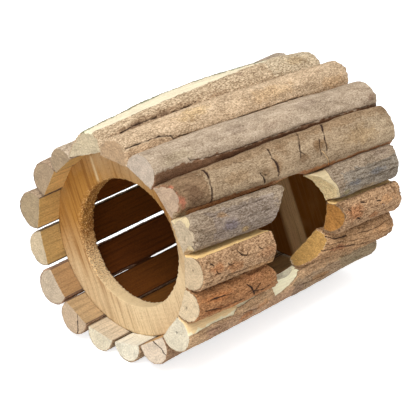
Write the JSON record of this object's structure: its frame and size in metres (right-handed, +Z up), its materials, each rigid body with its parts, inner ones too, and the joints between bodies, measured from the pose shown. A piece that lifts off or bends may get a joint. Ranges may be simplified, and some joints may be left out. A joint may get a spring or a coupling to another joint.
{
  "type": "hamster house",
  "caption": "Round hamster house of half-round split branches nailed side by side round a bored wooden ring and a solid disc, with a round way in at the front and one at the side.",
  "frame": {"origin": "on the surface the house stands on, below the middle of its long axis", "axes": "+Y along the long axis from the front end to the back end, +X out of the side entrance, +Z up"},
  "size_m": [0.1125, 0.1495, 0.111],
  "materials": {
    "stave_wood": "raw split branch with its bark",
    "ring_pine": "sawn pine, untreated",
    "brad_steel": "bright wire"
  },
  "bodies": {
    "root": {"stave_01": "stave_wood", "stave_02": "stave_wood", "stave_03": "stave_wood", "stave_04": "stave_wood", "stave_05_front": "stave_wood", "stave_05_back": "stave_wood", "stave_06_front": "stave_wood", "stave_06_back": "stave_wood", "stave_07_front": "stave_wood", "stave_07_back": "stave_wood", "stave_08": "stave_wood", "stave_09": "stave_wood", "stave_10": "stave_wood", "stave_11": "stave_wood", "stave_12": "stave_wood", "stave_13": "stave_wood", "stave_14": "stave_wood", "stave_15": "stave_wood", "stave_16": "stave_wood", "stave_17": "stave_wood", "front_ring": "ring_pine", "back_disc": "ring_pine", "front_ring_brads": "brad_steel", "back_disc_brads": "brad_steel"}
  },
  "joints": []
}
